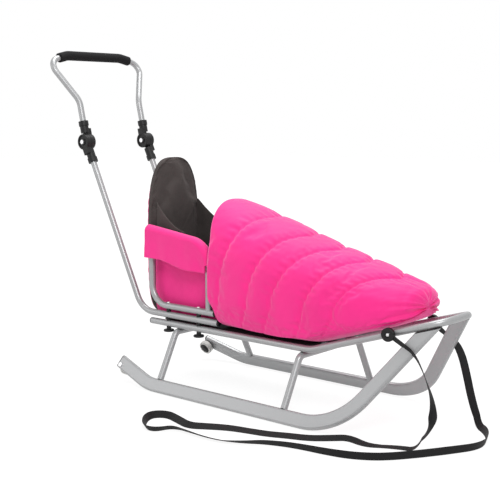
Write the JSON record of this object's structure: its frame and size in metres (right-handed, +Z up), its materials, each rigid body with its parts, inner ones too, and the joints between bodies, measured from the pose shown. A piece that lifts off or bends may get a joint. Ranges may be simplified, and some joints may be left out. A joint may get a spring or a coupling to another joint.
{
  "type": "child push sled",
  "caption": "Tube-frame child's sled on leaning flat-oval runners, with a folding push handle, armrest loops, small transport wheels, a padded foot muff and a tow strap.",
  "frame": {"origin": "on the floor under the middle of the sled, midway between its sides and between the grip's back and the nose's front", "axes": "+X forward, +Y to the sled's left, +Z up"},
  "size_m": [1.4428, 0.6778, 0.939],
  "materials": {
    "silver_paint": "satin",
    "slat_grey": "satin",
    "zinc_steel": "satin",
    "black_plastic": "matt",
    "foam": "matt",
    "wheel_grey": "matt",
    "pink_fabric": "matt",
    "lining_fabric": "matt",
    "black_fabric": "matt",
    "webbing": "matt"
  },
  "bodies": {
    "sled": {"armrest_loop_left": "silver_paint", "armrest_loop_right": "silver_paint", "armrest_plug_left": "black_plastic", "armrest_plug_right": "black_plastic", "clamp_knob_front_left": "black_plastic", "clamp_knob_front_right": "black_plastic", "clamp_knob_rear_left": "black_plastic", "clamp_knob_rear_right": "black_plastic", "clamp_screw_front_left": "zinc_steel", "clamp_screw_front_right": "zinc_steel", "clamp_screw_rear_left": "zinc_steel", "clamp_screw_rear_right": "zinc_steel", "clamp_spacer_lower_front_left": "black_plastic", "clamp_spacer_lower_front_right": "black_plastic", "clamp_spacer_lower_rear_left": "black_plastic", "clamp_spacer_lower_rear_right": "black_plastic", "clamp_spacer_upper_front_left": "black_plastic", "clamp_spacer_upper_front_right": "black_plastic", "clamp_spacer_upper_rear_left": "black_plastic", "clamp_spacer_upper_rear_right": "black_plastic", "hoop_front": "silver_paint", "hoop_rear": "silver_paint", "joint_bolt_left": "zinc_steel", "joint_bolt_right": "zinc_steel", "joint_lower_left": "black_plastic", "joint_lower_right": "black_plastic", "muff_back": "lining_fabric", "muff_bag": "pink_fabric", "muff_floor": "black_fabric", "muff_side_left": "pink_fabric", "muff_side_right": "pink_fabric", "muff_wing_left": "pink_fabric", "muff_wing_right": "pink_fabric", "push_plug_left": "black_plastic", "push_plug_right": "black_plastic", "push_tube_left": "silver_paint", "push_tube_right": "silver_paint", "rail_plug_left": "black_plastic", "rail_plug_right": "black_plastic", "runner_cap_left": "black_plastic", "runner_cap_right": "black_plastic", "runner_left": "silver_paint", "runner_plug_left": "black_plastic", "runner_plug_right": "black_plastic", "runner_right": "silver_paint", "seat_rail": "silver_paint", "seat_slat_1": "slat_grey", "seat_slat_2": "slat_grey", "seat_slat_3": "slat_grey", "tow_knob_left": "black_plastic", "tow_knob_right": "black_plastic", "tow_strap": "webbing", "wheel_axle_left": "zinc_steel", "wheel_axle_right": "zinc_steel"},
    "handle": {"joint_upper_left": "black_plastic", "joint_upper_right": "black_plastic", "handle_tube": "silver_paint", "grip": "foam"},
    "wheel_left_body": {"wheel_left": "wheel_grey"},
    "wheel_right_body": {"wheel_right": "wheel_grey"}
  },
  "joints": [
    {"name": "handle_fold", "type": "hinge", "parent": "sled", "child": "handle", "pos_m": [-0.5195, 0, 0.682], "axis": [0, 1, 0], "range_deg": [-90, 90]},
    {"name": "wheel_left_spin", "type": "hinge", "parent": "sled", "child": "wheel_left_body", "pos_m": [-0.3075, 0.18502, 0.04789], "axis": [0, 0.891, 0.454], "continuous": true},
    {"name": "wheel_right_spin", "type": "hinge", "parent": "sled", "child": "wheel_right_body", "pos_m": [-0.3075, -0.18502, 0.04789], "axis": [0, -0.891, 0.454], "continuous": true}
  ]
}
